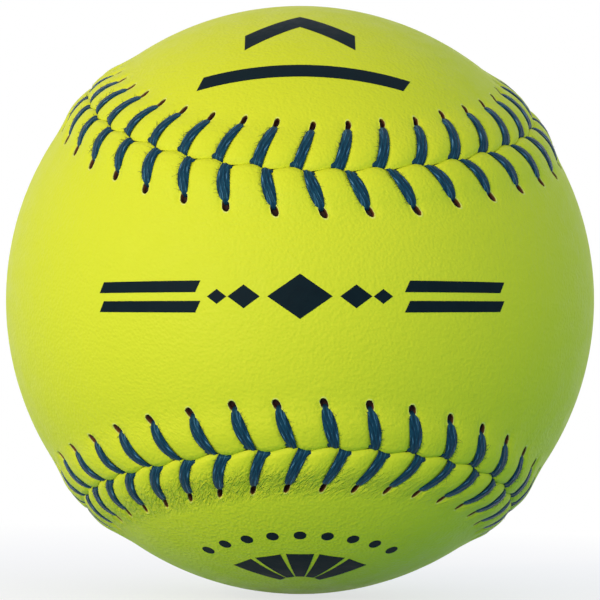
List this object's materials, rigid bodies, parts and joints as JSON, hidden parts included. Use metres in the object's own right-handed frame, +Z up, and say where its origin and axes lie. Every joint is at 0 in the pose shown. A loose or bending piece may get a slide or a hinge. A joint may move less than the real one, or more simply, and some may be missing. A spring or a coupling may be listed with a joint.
{
  "type": "softball",
  "caption": "Optic-yellow softball: a moulded core under two figure-eight leather panels, closed by a raised seam of slanted blue stitches.",
  "frame": {"origin": "centre of the ball", "axes": "+X to the right and +Z up as seen in the picture, -Y towards the viewer: the waist of the front panel faces -Y, its lobes lie at -X and +X, and the lobes of the back panel at -Z and +Z"},
  "size_m": [0.097, 0.097, 0.097],
  "materials": {
    "core_foam": "moulded polyurethane skin, dull",
    "cover_leather": "optic-yellow synthetic leather, fine grain, semi-matte",
    "sewing_thread": "waxed navy-blue thread, flattened where it lies on the cover"
  },
  "bodies": {
    "root": {"core": "core_foam", "front_panel": "cover_leather", "back_panel": "cover_leather", "first_thread": "sewing_thread", "second_thread": "sewing_thread"}
  },
  "joints": []
}
